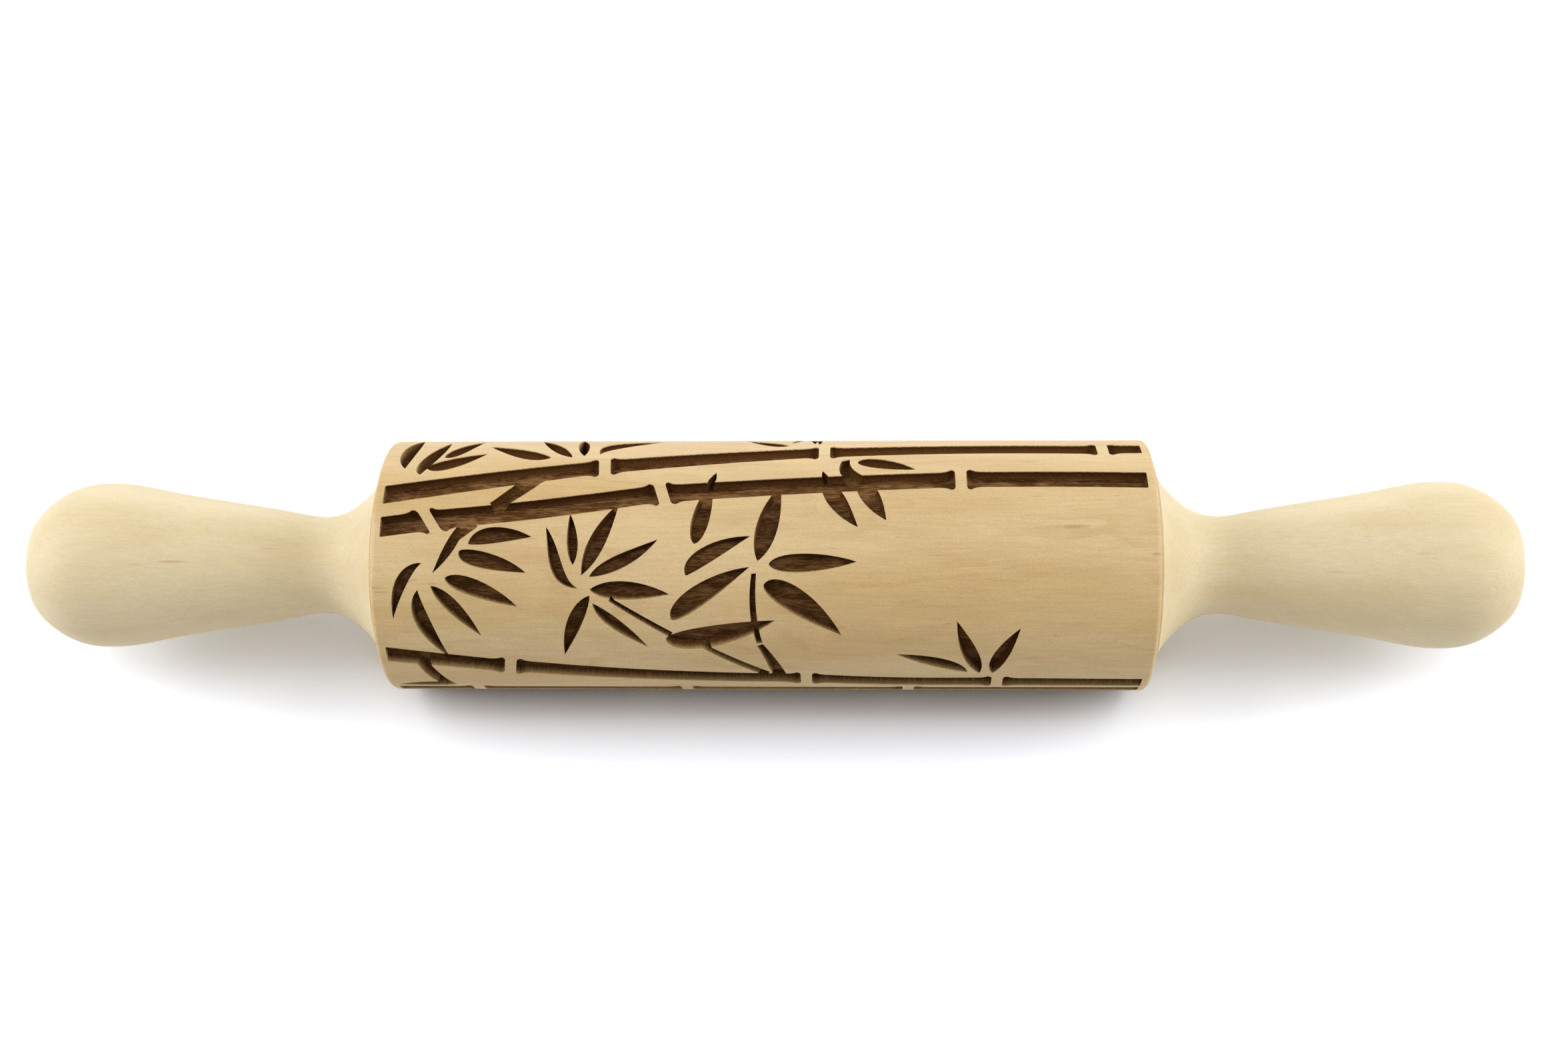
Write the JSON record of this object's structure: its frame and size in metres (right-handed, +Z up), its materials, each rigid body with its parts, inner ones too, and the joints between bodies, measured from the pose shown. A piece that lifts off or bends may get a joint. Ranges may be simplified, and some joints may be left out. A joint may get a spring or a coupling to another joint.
{
  "type": "embossing rolling pin",
  "caption": "Small wooden embossing rolling pin: a roller engraved with bamboo turns on a steel axle between two turned waisted handles with round knobs.",
  "frame": {"origin": "on the axle, halfway along the roller", "axes": "+X along the axle towards the right handle, +Z up, and the middle of the bamboo artwork faces between -Y and +Z at rest"},
  "size_m": [0.2372, 0.04, 0.04],
  "materials": {
    "roller_wood": "sanded bare alder with burnt brown engraving",
    "handle_wood": "sanded bare pale lime wood",
    "axle_steel": "drawn stainless rod",
    "bush_nylon": "natural nylon",
    "washer_steel": "stamped stainless",
    "insert_brass": "turned brass"
  },
  "bodies": {
    "handle_assembly": {"left_handle": "handle_wood", "right_handle": "handle_wood", "axle_rod": "axle_steel", "left_handle_insert": "insert_brass", "right_handle_insert": "insert_brass", "left_thrust_washer": "washer_steel", "right_thrust_washer": "washer_steel"},
    "roller_assembly": {"roller": "roller_wood", "left_bush": "bush_nylon", "right_bush": "bush_nylon"}
  },
  "joints": [
    {"name": "roller_spin", "type": "hinge", "parent": "handle_assembly", "child": "roller_assembly", "pos_m": [0, 0, 0], "axis": [1, 0, 0], "continuous": true}
  ]
}
